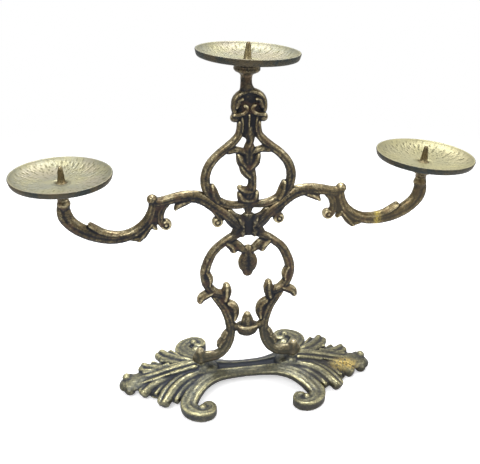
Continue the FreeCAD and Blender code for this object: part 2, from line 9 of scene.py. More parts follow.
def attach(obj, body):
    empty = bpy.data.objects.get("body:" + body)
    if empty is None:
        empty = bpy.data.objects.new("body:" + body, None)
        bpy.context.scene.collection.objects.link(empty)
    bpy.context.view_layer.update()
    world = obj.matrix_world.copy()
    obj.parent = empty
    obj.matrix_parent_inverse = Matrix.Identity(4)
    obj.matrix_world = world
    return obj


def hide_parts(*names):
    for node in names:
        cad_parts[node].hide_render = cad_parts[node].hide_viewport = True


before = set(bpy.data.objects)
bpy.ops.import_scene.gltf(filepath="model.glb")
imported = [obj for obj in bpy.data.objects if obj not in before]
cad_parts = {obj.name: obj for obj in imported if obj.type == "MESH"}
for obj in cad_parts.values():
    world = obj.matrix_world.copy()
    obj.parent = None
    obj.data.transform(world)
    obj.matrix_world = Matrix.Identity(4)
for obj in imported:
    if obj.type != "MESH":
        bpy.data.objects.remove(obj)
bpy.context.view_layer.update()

# The base casting: two acanthus leaves that fan out from the pads under the legs,
# four scroll feet on the floor and a moulded band that ties the two pads together.
# Cast brass, paler than the stem because the leaves have been polished by cleaning.

MM = 0.001
UP = Vector((0, 0, 1))
BACK = Vector((0, 1, 0))


def through(stations, steps):
    """Smooth line through stations of numbers, with steps places from one to the next."""
    line = []
    last = len(stations) - 1
    for i in range(last):
        a = Vector(stations[max(i - 1, 0)])
        b = Vector(stations[i])
        c = Vector(stations[i + 1])
        d = Vector(stations[min(i + 2, last)])
        for k in range(steps):
            t = k / steps
            line.append(0.5 * (2 * b + (c - a) * t + (2 * a - 5 * b + 4 * c - d) * t ** 2
                               + (3 * b - a - 3 * c + d) * t ** 3))
    line.append(Vector(stations[last]))
    return line


def plain(across):
    """A strand of oval section."""
    return 1


def fluted(across):
    """A round strand with a channel along the middle of its face."""
    return 1 - 0.13 * math.exp(-(across / 0.26) ** 2)


def scooped(hand):
    """A leaf lobe hollowed like a gutter, deepest on the side that hand, 1 or -1, names."""
    return lambda across: 1 - 0.46 * math.exp(-((across * hand - 0.26) / 0.4) ** 2)


def ribbed(across):
    """A leaf with a raised vein and a valley on each side of it."""
    valley = math.exp(-((abs(across) - 0.5) / 0.2) ** 2)
    return 1 + 0.06 * math.exp(-(across / 0.3) ** 2) - 0.07 * valley


def slab(across):
    """A flat band with upright walls and two channels along its top."""
    square = (across ** 6 + (1 - min(across ** 2, 1)) ** 3) ** (-1 / 6)
    channels = sum(math.exp(-((across - middle) / 0.2) ** 2) for middle in (-0.3, 0.42))
    return 0.89 * square * (1 - 0.09 * channels)


STRAND_SIDES = 40
CAP_TURNS = [0, 24, 48, 72]


def swept(bm, stations, up, section, steps=4, blunt=1):
    """A strand along (x, y, z, half width, half height, roll) stations in mm and degrees.

    The roll may be left out. Both ends are closed round, or flatter where blunt is under 1.
    """
    line = through(stations, steps)
    spots = [Vector(station[:3]) for station in line]
    last = len(spots) - 1
    rings = []
    for i, spot in enumerate(spots):
        along = (spots[min(i + 1, last)] - spots[max(i - 1, 0)]).normalized()
        side = along.cross(up).normalized()
        lift = side.cross(along)
        if len(line[i]) > 5:
            roll = Matrix.Rotation(math.radians(line[i][5]), 3, along)
            side, lift = roll @ side, roll @ lift
        turns = [0]
        if i == 0:
            turns = [-turn for turn in reversed(CAP_TURNS)]
        if i == last:
            turns = CAP_TURNS
        for turn in turns:
            shrink = math.cos(math.radians(turn))
            centre = spot + along * line[i][3] * blunt * math.sin(math.radians(turn))
            rings.append(Matrix((side * line[i][3] * shrink, lift * line[i][4] * shrink,
                                 along)).transposed().to_4x4())
            rings[-1].translation = centre
    strand = bmesh.new()
    made = bmesh.ops.create_circle(strand, cap_ends=True, segments=STRAND_SIDES, radius=1)
    verts = made["verts"]
    edges = list({edge for vert in verts for edge in vert.link_edges})
    for vert in verts:
        vert.co *= section(vert.co.x)
    scale = Matrix.Scale(MM, 4)
    bmesh.ops.transform(strand, matrix=scale @ rings[0], verts=verts)
    for before, after in zip(rings, rings[1:]):
        made = bmesh.ops.extrude_edge_only(strand, edges=edges)["geom"]
        verts = {item for item in made if isinstance(item, bmesh.types.BMVert)}
        edges = [edge for edge in made if isinstance(edge, bmesh.types.BMEdge)
                 and verts.issuperset(edge.verts)]
        bmesh.ops.transform(strand, matrix=scale @ after @ before.inverted() @ scale.inverted(),
                            verts=list(verts))
    bmesh.ops.contextual_create(strand, geom=edges)
    mesh = bpy.data.meshes.new("strand")
    strand.to_mesh(mesh)
    strand.free()
    bm.from_mesh(mesh)
    bpy.data.meshes.remove(mesh)


def ball(bm, x, y, z, wide, deep, high):
    """A bead with its middle and half sizes in mm."""
    place = Matrix.Translation(Vector((x, y, z)) * MM)
    size = Matrix.Diagonal(Vector((wide, deep, high, 1 / MM)) * MM)
    bmesh.ops.create_icosphere(bm, subdivisions=3, radius=1, matrix=place @ size)


def relief(mesh, rounds):
    """How far each vertex stands out of its smoothed surroundings, in mm."""
    count = len(mesh.vertices)
    spot = numpy.empty(count * 3)
    mesh.vertices.foreach_get("co", spot)
    spot = spot.reshape(-1, 3)
    normal = numpy.empty(count * 3)
    mesh.vertices.foreach_get("normal", normal)
    edge = numpy.empty(len(mesh.edges) * 2, dtype=numpy.int32)
    mesh.edges.foreach_get("vertices", edge)
    start, end = edge.reshape(-1, 2).T
    degree = numpy.bincount(edge, minlength=count)[:, None]
    soft = spot.copy()
    for i in range(rounds):
        pull = [numpy.bincount(start, soft[end, k], count)
                + numpy.bincount(end, soft[start, k], count) for k in range(3)]
        soft = 0.5 * soft + 0.5 * numpy.stack(pull, axis=1) / degree
    out = ((spot - soft) * normal.reshape(-1, 3)).sum(axis=1) / MM
    return out - numpy.median(out)


def settled(obj, name):
    """The object with its modifiers worked into its mesh."""
    before = obj.data
    evaluated = obj.evaluated_get(bpy.context.evaluated_depsgraph_get())
    obj.data = bpy.data.meshes.new_from_object(evaluated)
    obj.modifiers.clear()
    bpy.data.meshes.remove(before)
    obj.data.name = name


def made_object(bm, name):
    """A new object in the scene from a bmesh, which is used up."""
    mesh = bpy.data.meshes.new(name)
    bm.to_mesh(mesh)
    bm.free()
    obj = bpy.data.objects.new(name, mesh)
    bpy.context.scene.collection.objects.link(obj)
    return obj


SAND_GRAIN = 5
SAND_DEPTH = 0.5
RIDGE_ROUNDS = 6
HOLLOW_ROUNDS = 50
sand = bpy.data.textures.new("casting_sand", "CLOUDS")
sand.noise_scale = SAND_GRAIN * MM


def cast(bm, name, grain):
    """One sand casting from overlapping forms, with its ridges and hollows marked."""
    bmesh.ops.recalc_face_normals(bm, faces=bm.faces)
    obj = made_object(bm, name)
    fuse = obj.modifiers.new("fuse", "REMESH")
    fuse.mode = "VOXEL"
    fuse.voxel_size = grain * MM
    fuse.use_smooth_shade = True
    soft = obj.modifiers.new("soften", "SMOOTH")
    soft.factor = 0.5
    soft.iterations = 2
    rough = obj.modifiers.new("sand", "DISPLACE")
    rough.texture = sand
    rough.strength = SAND_DEPTH * MM
    settled(obj, name)
    normal = numpy.empty(len(obj.data.vertices) * 3)
    obj.data.vertices.foreach_get("normal", normal)
    for label, values in (("ridge", relief(obj.data, RIDGE_ROUNDS)),
                          ("hollow", relief(obj.data, HOLLOW_ROUNDS)),
                          ("facing", normal[2::3])):
        mark = obj.data.attributes.new(label, "FLOAT", "POINT")
        mark.data.foreach_set("value", values)
    return obj


class Tone:
    """A shader value; arithmetic on it adds nodes to the material being made."""

    tree = None

    def __init__(self, socket):
        self.socket = socket

    @classmethod
    def make(cls, kind, output, inputs, **options):
        node = cls.tree.nodes.new("ShaderNode" + kind)
        for name, value in options.items():
            setattr(node, name, value)
        for key, value in inputs.items():
            if isinstance(value, Tone):
                cls.tree.links.new(value.socket, node.inputs[key])
            else:
                node.inputs[key].default_value = value
        return cls(node.outputs[output])

    def __add__(self, other):
        return Tone.make("Math", 0, {0: self, 1: other}, operation="ADD")

    def __sub__(self, other):
        return Tone.make("Math", 0, {0: self, 1: other}, operation="SUBTRACT")

    def __rsub__(self, other):
        return Tone.make("Math", 0, {0: other, 1: self}, operation="SUBTRACT")

    def __mul__(self, other):
        return Tone.make("Math", 0, {0: self, 1: other}, operation="MULTIPLY")

    __radd__ = __add__
    __rmul__ = __mul__

    def between(self, low, high):
        """0 below low, 1 above high and an eased slope between."""
        return Tone.make("MapRange", 0, {0: self, 1: low, 2: high},
                         interpolation_type="SMOOTHSTEP")

    def blend(self, first, second):
        """The first colour where this is 0 and the second where it is 1."""
        return Tone.make("Mix", 2, {0: self, 6: first, 7: second}, data_type="RGBA")

    def feed(self, shader, name):
        Tone.tree.links.new(self.socket, shader.inputs[name])


def brass(name, recess, body, stain, bright, wear, grime_and_shade, rough, top_highlight):
    """Aged brass: blue-black in its hollows and on its downward faces, part grime and part painted
    shade; stained on its faces; rubbed pale on its ridges, with a painted highlight on its upward
    faces.
    """
    material = bpy.data.materials.new(name)
    material.use_nodes = True
    Tone.tree = material.node_tree
    shader = material.node_tree.nodes["Principled BSDF"]
    shader.inputs["Specular IOR Level"].default_value = 0.22
    place = Tone.make("TexCoord", "Object", {})
    ridge = Tone.make("Attribute", "Fac", {}, attribute_name="ridge")
    hollow = Tone.make("Attribute", "Fac", {}, attribute_name="hollow")
    cloud = Tone.make("TexNoise", 0, {"Vector": place, "Scale": 70.0, "Detail": 4.0})
    patch = Tone.make("TexNoise", 0, {"Vector": place, "Scale": 190.0, "Detail": 4.0,
                                      "Distortion": 0.7})
    grit = Tone.make("TexNoise", 0, {"Vector": place, "Scale": 900.0, "Detail": 3.0})
    stained = patch.between(0.4, 0.62).blend(body, stain)
    facing = Tone.make("Attribute", "Fac", {}, attribute_name="facing")
    pits = Tone.make("TexNoise", 0, {"Vector": place, "Scale": 430.0, "Detail": 2.0})
    # Wear on the ridges, plus a painted highlight on upward faces.
    wear_and_top_highlight = ridge * 3.2 + hollow * 0.6 + cloud * 1.6 + patch + grit + facing * top_highlight
    rubbed_and_top_lit = wear_and_top_highlight.between(wear, wear + 1.1)
    # Dark in the hollows and on downward faces: part grime, part painted shade.
    clean_and_unshaded = (hollow + ridge + cloud * 0.9 + grit * 0.7 + facing * 0.8).between(grime_and_shade, grime_and_shade + 1)
    polished = clean_and_unshaded.blend(recess, rubbed_and_top_lit.blend(stained, bright))
    (0.5 * pits.between(0.5, 0.64)).blend(polished, recess).feed(shader, "Base Color")
    (rough + 0.1 * grit + 0.14 * (1 - clean_and_unshaded) - 0.1 * rubbed_and_top_lit).feed(shader, "Roughness")
    (0.35 + 0.55 * clean_and_unshaded).feed(shader, "Metallic")
    bump = Tone.make("Bump", 0, {"Height": grit + patch, "Strength": 0.2, "Distance": 0.0005})
    bump.feed(shader, "Normal")
    return material


PAD_X = 54
BEADS = 13
BEAD_RADIUS = 1.5
BEAD_FIRST = (91, -9, 23.2)
BEAD_STEP = (2.5, 0.04, -0.78)
REAR_CURL = 0.0042
REAR_RISE = 0.3
RISE_FROM = 18
RISE_OVER = 20
base_form = bmesh.new()
leaf_lobes = [
    [(58, -8, 19, 5, 5), (72, -12.6, 19.4, 7.2, 5.4), (84, -18.8, 16, 8.4, 6),
     (93, -27, 11.4, 8.8, 6.6), (99.4, -36.4, 7.8, 7.8, 7.4)],
    [(84, -5.6, 16, 5, 5), (97, -7.4, 15.2, 7, 5.4), (109, -10.2, 12, 8, 6),
     (116, -13.6, 9.2, 8, 6.6), (121, -17.4, 7.4, 6.8, 7)],
    [(58, -13, 15.6, 4, 4.6), (68, -17.4, 15.6, 5.6, 5), (77, -23, 12.2, 6.2, 5.4),
     (82.6, -28.4, 8.8, 6, 6), (85.8, -33.6, 6.8, 5.2, 6.4)],
    [(84, -10, 13, 3.6, 4.2), (94, -12.4, 12.4, 4.8, 4.6), (102, -16, 9.6, 5.2, 5),
     (107, -20.6, 7, 4.6, 5.6)],
]
leaf_web = [(60, -14, 12, 9, 3), (76, -17, 10, 13, 3), (92, -18, 7, 14, 3), (104, -16, 5, 10, 2.6)]
rear_lobules = [
    [(80, -18, 18, 3.6, 4), (89, -19, 17.6, 4.4, 4.2), (98, -22.6, 16.6, 4, 4)],
    [(76, -23, 15.6, 3.6, 4), (81, -30.4, 15.4, 4.2, 4.2), (88, -38, 15.6, 3.6, 4)],
    [(102, -6.4, 15.6, 3.4, 4), (110, -6.6, 15, 4, 4), (119, -8.4, 13.6, 3.6, 4)],
    [(97, -11, 14.6, 3.4, 4), (102.4, -17, 14, 3.8, 4), (109.4, -22.4, 13.4, 3.4, 4)],
]
rib_sides = [(60, -5, 26, 2.8, 3.2), (82, -6.2, 21.8, 2.8, 3.2), (104, -6, 15.6, 2.6, 3.2),
             (124, -5, 10.8, 2.6, 3), (134, -4, 9.5, 2.4, 2.8)]
foot_band = [(0, -7.4, 14.8, 5.8, 4.2, 26), (18, -8, 15, 6.2, 4.4, 26),
             (35, -11, 16, 7.2, 4.6, 22), (48.4, -17, 15.6, 8.3, 4.8, 14),
             (59.6, -25.4, 13.2, 9.4, 5, 6), (68, -35.4, 9.8, 10.2, 5.6, 0),
             (72, -44.6, 7.6, 10.4, 6.2, 0), (69, -53, 6.8, 9.6, 6.6, 0),
             (60.4, -59.4, 6.7, 7.4, 6.6, 0), (51, -59, 6.7, 6, 6.6, 0),
             (46.6, -53.6, 6.8, 5.2, 6.6, 0), (49.6, -48.6, 7, 4.4, 6.6, 0),
             (55, -50, 7.4, 3.6, 6.4, 0)]
for front in (1, -1):
    for right in (1, -1):
        curl = 0 if front == 1 else REAR_CURL
        for stations in leaf_lobes + (rear_lobules if front == -1 else []):
            root = stations[0][0]
            swept(base_form, [(x * right, y * front, z + curl * (x - root) ** 2, w, h)
                              for x, y, z, w, h in stations], UP, scooped(-right * front),
                  blunt=0.55)
        for stations in (rib_sides, leaf_web):
            swept(base_form, [(x * right, y * front, z, w, h) for x, y, z, w, h in stations],
                  UP, plain)
        taller = 0 if front == 1 else REAR_RISE
        rises = [1 + taller * min(max((-station[1] - RISE_FROM) / RISE_OVER, 0), 1)
                 for station in foot_band]
        swept(base_form, [(x * right, y * front, z * rise, w, h * rise, roll * front * right)
                          for (x, y, z, w, h, roll), rise in zip(foot_band, rises)], UP, slab)
        ball(base_form, 57.4 * right, -53.8 * front, 8.4 * rises[-1], 5.4, 5.2, 6.4 * rises[-1])
        ball(base_form, 57.6 * right, -53.6 * front, 4.6, 10, 8.6, 4.2)
        if front == -1:
            ball(base_form, 55 * right, 46, 8, 10, 9, 7)
        for i in range(BEADS):
            x, y, z = (first + step * i for first, step in zip(BEAD_FIRST, BEAD_STEP))
            ball(base_form, x * right, y * front, z, BEAD_RADIUS, BEAD_RADIUS, BEAD_RADIUS)
for right in (1, -1):
    swept(base_form, [(x * right, 0, z, w, h) for x, z, w, h in
                      [(58, 28, 3, 3.6), (80, 24.2, 3, 3.6), (102, 18, 2.8, 3.4),
                       (122, 12.8, 2.8, 3.4), (134, 11.6, 2.8, 3)]], UP, plain)
    swept(base_form, [(x * right, 0, z, w, h) for x, z, w, h in
                      [(44, 20, 11, 5), (66, 21, 14, 4), (92, 15, 13.6, 3.8),
                       (116, 10, 13, 4.6), (128, 8.8, 13.6, 5), (136, 7.6, 12.6, 5)]], UP, plain)
    swept(base_form, [(x * right, 0, z, w, h) for x, z, w, h in
                      [(110, 12.6, 10, 4.4), (122, 11, 12, 4.6), (134, 9.8, 11.6, 4.8)]], UP, plain)
    swept(base_form, [(135.6 * right, -8.4, 5.4, 6.4, 5.3), (137.4 * right, 0, 6.4, 7.2, 6.2),
                      (136.4 * right, 8.4, 6.8, 6.6, 6.6)], UP, plain)
    ball(base_form, 139.4 * right, 4, 13.2, 4.8, 5, 4.8)
    swept(base_form, [(PAD_X * right, 0, 18, 11.5, 11.5), (PAD_X * right, 0, 24, 10, 10),
                      (PAD_X * right, 0, 27, 6.4, 6.4)], BACK, plain, steps=2)
swept(base_form, [(-44, 0, 15.4, 9, 3), (0, 0, 14.4, 9, 3), (44, 0, 15.4, 9, 3)], UP, plain)
base = cast(base_form, "base_casting_visual", grain=0.88)
WELL_RADIUS = 5
WELL_REACH = 42
for well_x in (-PAD_X, PAD_X):
    drill_form = bmesh.new()
    bmesh.ops.create_cone(drill_form, cap_ends=True, segments=32, radius1=WELL_RADIUS * MM,
                          radius2=WELL_RADIUS * MM, depth=WELL_REACH * MM,
                          matrix=Matrix.Translation((well_x * MM, 0, 0)))
    drill = made_object(drill_form, "drill")
    bore = base.modifiers.new("bore", "BOOLEAN")
    bore.operation = "DIFFERENCE"
    bore.solver = "MANIFOLD"
    bore.object = drill
    settled(base, "base_casting_visual")
    bpy.data.objects.remove(drill)
base.data.materials.clear()
base_brass = brass("base_brass", (0.034, 0.038, 0.05, 1), (0.24, 0.228, 0.145, 1),
                   (0.16, 0.162, 0.123, 1), (0.58, 0.535, 0.3, 1),
                   wear=2.6, grime_and_shade=0.62, rough=0.34, top_highlight=1.0)
Tone.tree = base_brass.node_tree
base_shader = base_brass.node_tree.nodes["Principled BSDF"]
base_place = Tone.make("TexCoord", "Object", {})
out_x = Tone.make("Math", 0, {0: Tone.make("SeparateXYZ", "X", {0: base_place})},
                  operation="ABSOLUTE")
depth = Tone.make("SeparateXYZ", "Y", {0: base_place})
# Painted shade: the trough of the middle band between the pads is darkened blue-black.
trough_shade = ((1 - out_x.between(0.03, 0.066)) * depth.between(-0.009, -0.001)
             * (1 - depth.between(0.012, 0.026)))
gilt_place = Tone.make("Mapping", 0, {"Vector": base_place, "Scale": (0.5, 1.0, 1.0)})
gilt_reach = Tone.make("VectorMath", "Value", {0: gilt_place, 1: (0.057, -0.011, 0.015)},
                       operation="DISTANCE")
gilt_flakes = Tone.make("TexNoise", 0, {"Vector": base_place, "Scale": 500.0, "Detail": 3.0})
gilt = (1 - gilt_reach.between(0.003, 0.012)) * gilt_flakes.between(0.37, 0.57)
along_leaf = Tone.make("Mapping", 0, {"Vector": base_place, "Scale": (0.2, 1.0, 1.0)})
chased = Tone.make("TexNoise", 0, {"Vector": along_leaf, "Scale": 620.0, "Detail": 2.0})
# The brass colour so far: wear and grime with painted shade and painted top highlight.
worn_and_shaded = Tone(base_shader.inputs["Base Color"].links[0].from_socket)
# Darker and browner over the right half of the base.
right_side = Tone.make("SeparateXYZ", "X", {0: base_place}).between(0.03, 0.09)
lined = (0.45 * chased.between(0.48, 0.62)).blend(worn_and_shaded, (0.07, 0.074, 0.07, 1))
right_darker = (0.42 * right_side).blend(lined, (0.06, 0.05, 0.03, 1))
height = Tone.make("SeparateXYZ", "Z", {0: base_place})
# Painted shade on the front face of the middle band and on the outer walls of the leaf tips.
front_band_shade = (1 - out_x.between(0.03, 0.064)) * (1 - depth.between(-0.012, -0.002))
tip_wall_shade = out_x.between(0.13, 0.139) * (1 - height.between(0.0075, 0.0125))
shaded = (0.6 * front_band_shade).blend((0.75 * tip_wall_shade).blend(right_darker, (0.035, 0.036, 0.034, 1)),
                                  (0.075, 0.073, 0.052, 1))
# Painted shade on upright walls, heavier on the right half.
upright = 1 - Tone.make("Attribute", "Fac", {}, attribute_name="facing").between(0.0, 0.45)
walls_shaded = (upright * (0.22 + 0.55 * right_side)).blend(shaded, (0.036, 0.032, 0.025, 1))
trough_shaded = (0.85 * trough_shade).blend(walls_shaded, (0.026, 0.03, 0.038, 1))
(0.8 * gilt).blend(trough_shaded, (0.66, 0.49, 0.15, 1)).feed(base_shader, "Base Color")
base.data.materials.append(base_brass)
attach(base, "frame")
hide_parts("base_casting")

# The fasteners: a screw and washer up through each pad into its leg, a stud through the
# crossing and a dowel from the ring into each arm. Plain turned steel, mostly hidden.

steel = bpy.data.materials.new("fastener_steel")
steel.use_nodes = True
Tone.tree = steel.node_tree
steel_shader = steel.node_tree.nodes["Principled BSDF"]
steel_place = Tone.make("TexCoord", "Object", {})
lathe_marks = Tone.make("TexNoise", 0, {"Vector": steel_place, "Scale": 1500.0, "Detail": 2.0})
rust = Tone.make("TexNoise", 0, {"Vector": steel_place, "Scale": 260.0, "Detail": 4.0})
rusted = rust.between(0.52, 0.7)
rusted.blend((0.42, 0.42, 0.41, 1), (0.2, 0.15, 0.11, 1)).feed(steel_shader, "Base Color")
(0.3 + 0.3 * rusted + 0.12 * lathe_marks).feed(steel_shader, "Roughness")
(1 - 0.6 * rusted).feed(steel_shader, "Metallic")
for node in ("base_screws", "base_washers", "crossing_stud", "left_arm_dowel", "right_arm_dowel"):
    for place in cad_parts[node].material_slots:
        place.material = steel

# The lyre: the lower openwork casting in dark brass, flat, screwed to the base's pads.
# Its two legs bow in round a little bowl and carry two C scrolls, which meet at the
# crossing over a hanging drop. Its hollows are dark, part grime and part painted shade, deepest
# round the crossing; its ridges are rubbed bright, with a painted highlight on upward faces.

BRAZE_X = 0.1398
CROSSING = (0.0, 0.0, 0.207)
BOWL_FLATTENED = 0.62
stem_brass = brass("stem_brass", (0.016, 0.017, 0.021, 1), (0.195, 0.15, 0.079, 1),
                   (0.11, 0.092, 0.058, 1), (0.68, 0.585, 0.35, 1),
                   wear=1.85, grime_and_shade=0.25, rough=0.34, top_highlight=0.4)
Tone.tree = stem_brass.node_tree
stem_shader = stem_brass.node_tree.nodes["Principled BSDF"]
stem_place = Tone.make("TexCoord", "Object", {})
braze_off = Tone.make("Math", 0, {0: Tone.make("SeparateXYZ", "X", {0: stem_place}) - BRAZE_X},
                      operation="ABSOLUTE")
aged_and_shaded = Tone(stem_shader.inputs["Base Color"].links[0].from_socket)
braze_flakes = Tone.make("TexNoise", 0, {"Vector": stem_place, "Scale": 420.0, "Detail": 3.0})
brazed = (1 - braze_off.between(0.0012, 0.005)) * braze_flakes.between(0.3, 0.7)
copper = Tone.make("TexNoise", 0, {"Vector": stem_place, "Scale": 110.0, "Detail": 3.0})
reddened = (0.28 * copper.between(0.52, 0.66)).blend(aged_and_shaded, (0.15, 0.083, 0.05, 1))
from_crossing = Tone.make("VectorMath", "Value", {0: stem_place, 1: CROSSING},
                          operation="DISTANCE")
lower = 1 - Tone.make("SeparateXYZ", "Z", {0: stem_place}).between(0.03, 0.1)
greyed = (0.5 * lower).blend(reddened, (0.125, 0.12, 0.085, 1))
# Painted light: the right side is made paler and more golden.
right_lit = Tone.make("SeparateXYZ", "X", {0: stem_place}).between(0.05, 0.1)
right_lit_tinted = (0.09 * right_lit).blend(greyed, (0.46, 0.34, 0.13, 1))
# Painted shade: the recessed parts round the crossing are darkened.
standing = Tone.make("Attribute", "Fac", {}, attribute_name="hollow").between(0.3, 1.2)
crossing_shade = (1 - from_crossing.between(0.012, 0.034)) * (0.65 - 0.6 * standing)
crossing_shaded = crossing_shade.blend(right_lit_tinted, (0.022, 0.023, 0.028, 1))
(0.85 * brazed).blend(crossing_shaded, (0.56, 0.44, 0.1, 1)).feed(stem_shader, "Base Color")
lyre_form = bmesh.new()
lyre_sides = [
    ([(5.6, 193, 4.5), (18.1, 187, 4.6), (27.9, 180.2, 4.6), (37.2, 171.2, 4.9),
      (43, 160, 5.3), (46.4, 148.3, 5.5), (46, 137, 5.5), (42.5, 127.7, 5.3),
      (36, 120.6, 5.1), (28.4, 118.3, 4.8), (25.1, 118.7, 4.6)], fluted, 5),
    ([(25, 112, 4.8), (23.6, 118, 5.6), (23.2, 124, 5.5), (23.3, 127.8, 4.2)], ribbed, 5.8),
    ([(40, 121.5, 4.8), (46.5, 118.4, 5.4), (51, 115, 5), (52.6, 111.6, 3.8)], ribbed, 5),
    ([(44.8, 147.5, 3), (41.6, 139.5, 4), (41.8, 132, 3)], ribbed, 5),
    ([(21, 181, 4), (15, 178.4, 6.4), (10, 175.4, 5.4), (5, 171.4, 4), (0, 169.6, 3.6)],
     plain, 4.2),
    ([(22, 181, 4.4), (17, 176.4, 5.2), (15.6, 172.4, 4.4)], ribbed, 5.6),
    ([(35.6, 115, 4.7), (29.9, 106.4, 5), (24.7, 97, 5.3), (20.9, 85.5, 5.6),
      (18.9, 74.4, 5.6), (19.2, 64.2, 5.6), (21.2, 54.3, 5.6), (26, 44.5, 5.6),
      (34, 37.6, 6), (44.3, 35.6, 7), (56.2, 35.4, 7.4)], fluted, 5),
    ([(20.5, 105.5, 4.2), (15.8, 100.5, 5.5), (14.2, 92.5, 5.3), (14.8, 84.5, 3.2)], ribbed, 5),
    ([(23.5, 67, 3.2), (26.6, 61.5, 3.8)], ribbed, 4.8),
    ([(26.5, 58.5, 4), (30.3, 54, 4.4), (32, 49.8, 3.3)], ribbed, 4.8),
]
for right in (1, -1):
    for stations, section, deep in lyre_sides:
        swept(lyre_form, [(x * right, 0, z, w, deep) for x, z, w in stations], BACK, section)
    swept(lyre_form, [(9 * right, 0, 208, 3.2, 6.2), (7 * right, 0, 204, 4.6, 6.8),
                      (5.2 * right, 0, 200.4, 3.4, 6.2)], BACK, ribbed)
    swept(lyre_form, [(5.2 * right, 0, 198, 3.4, 6.2), (6.4 * right, 0, 194, 4.8, 6.8),
                      (6.6 * right, 0, 190.4, 3.6, 6.2)], BACK, ribbed)
    swept(lyre_form, [(1 * right, 0, 209.8, 4, 3.4), (8 * right, 0, 207.6, 5.2, 3.4),
                      (15 * right, 0, 210.8, 5, 3.4), (19.6 * right, 0, 217, 4, 3.4)], BACK, plain)
    ball(lyre_form, 6.8 * right, 0, 204.4, 4, 7.4, 3.6)
    ball(lyre_form, 6.4 * right, 0, 193.8, 4.3, 7.4, 4)
    swept(lyre_form, [(15 * right, 0, 205.4, 4, 4), (11.4 * right, 0, 199, 4.4, 4.2),
                      (14 * right, 0, 191.4, 4.4, 4.2)], BACK, plain)
    swept(lyre_form, [(9 * right, 0, 72, 3, 4), (14.4 * right, 0, 74.6, 3.6, 4.4),
                      (18 * right, 0, 79, 3, 4)], BACK, plain)
    swept(lyre_form, [(PAD_X * right, 0, 32, 6.6, 6), (PAD_X * right, 0, 38, 5.8, 5.2),
                      (54.6 * right, 0, 43, 5.2, 5)], BACK, ribbed)
swept(lyre_form, [(0, 0, 144.5, 6, 4.6), (0, 0, 148.5, 9, 5.2), (0, 0, 153, 10.5, 5.6),
                  (0, 0, 158, 10.6, 5.6), (0, 0, 163, 9, 5.4), (0, 0, 167.5, 6.4, 5),
                  (0, 0, 172, 5, 4.6)], BACK, fluted)
swept(lyre_form, [(0, 0, 72, 8.4, 6.4), (0, 0, 78, 7.3, 5.8), (0, 0, 84, 6.2, 5.2),
                  (0, 0, 88, 4.2, 3.8)], BACK, ribbed)
swept(lyre_form, [(0, 0, 192, 10, 4.2), (0, 0, 197, 12, 4.2), (0, 0, 202, 11.6, 4.2),
                  (0, 0, 208, 8, 4.6), (0, 0, 213, 6, 4.8)], BACK, plain, blunt=0.4)


def spun(bm, profile, steps):
    """A closed turned form about Z from (radius, height) corners in mm; its vertices."""
    before = set(bm.verts)
    verts = [bm.verts.new((radius * MM, 0, z * MM)) for radius, z in profile]
    edges = [bm.edges.new(pair) for pair in zip(verts, verts[1:])]
    if profile[0][0] > 0:
        edges.append(bm.edges.new((verts[-1], verts[0])))
    bmesh.ops.spin(bm, geom=verts + edges, cent=(0, 0, 0), axis=(0, 0, 1),
                   angle=2 * math.pi, steps=steps, use_merge=True)
    made = [vert for vert in bm.verts if vert not in before]
    bmesh.ops.remove_doubles(bm, verts=made, dist=0.00001)
    return [vert for vert in bm.verts if vert not in before]


bowl = spun(lyre_form, [(0, 60.6), (6, 61.2), (10.6, 64.4), (13.2, 70), (13.8, 74.6), (12.6, 75.8),
                        (10, 76), (6, 76.6), (0, 77)], 32)
bmesh.ops.scale(lyre_form, vec=(1, BOWL_FLATTENED, 1), verts=bowl)
lyre = cast(lyre_form, "lyre_casting_visual", grain=0.7)
lyre.data.materials.append(stem_brass)
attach(lyre, "frame")
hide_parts("lyre_casting")

# The ring: the upper openwork casting, in the same brass, tied to the lyre by a stud.
# Two C scrolls close a heart-shaped ring round a spray of leaves, and a cartouche of
# facing scrolls rises from it to the round spigot that carries the top cup.

ring_form = bmesh.new()
ring_sides = [
    ([(0, 224.8, 4), (12, 224, 4.2), (22.3, 225.6, 4.5), (31.2, 229.7, 4.8),
      (38.3, 235.5, 5), (42.6, 242.9, 5.2), (44.3, 251.9, 5.2), (43.4, 260.9, 5),
      (39.6, 269.9, 4.8), (32.5, 278.5, 4.7), (24, 285.5, 4.6), (16, 292.5, 4.4),
      (10.4, 299.4, 4), (9, 306, 3.6), (8.6, 312, 3.4)], fluted, 4.8),
    ([(20.5, 284, 4), (13, 284.4, 3.6), (6, 282.4, 3.4), (0, 280, 3.4)], plain, 4.4),
    ([(32.5, 230.5, 5), (35.8, 237, 5.6), (36.6, 242.6, 4.4), (37.2, 246.4, 3)], ribbed, 5.4),
    ([(14.6, 324.5, 2.8), (15, 330, 3), (13.4, 336.4, 3.2), (9, 341, 3.2), (3, 343.4, 3.2),
      (-1, 343.6, 3)], plain, 5.4),
    ([(7.2, 303.5, 1.7), (6.6, 311, 1.8), (7.8, 319, 1.8)], plain, 4.8),
]
for right in (1, -1):
    for stations, section, deep in ring_sides:
        swept(ring_form, [(x * right, 0, z, w, deep) for x, z, w in stations], BACK, section)
    ball(ring_form, 14 * right, 0, 317.4, 4.9, 5.2, 4.6)
    for y in (-3.6, 3.6):
        swept(ring_form, [(x * right, y, z, w, 2.4) for x, z, w in
                          [(14.5, 320.6, 2.3), (9, 321.2, 2.3), (4.6, 323.2, 2.2),
                           (2.5, 327.2, 2.2), (4.8, 330, 2)]], BACK, plain)
        inset = 0.8 * y
        swept(ring_form, [(13 * right, inset, 328.6, 2.6, 2.6),
                          (11 * right, inset, 334.4, 3.8, 2.6),
                          (7.6 * right, inset, 335.8, 2.2, 2.4)], BACK, ribbed)
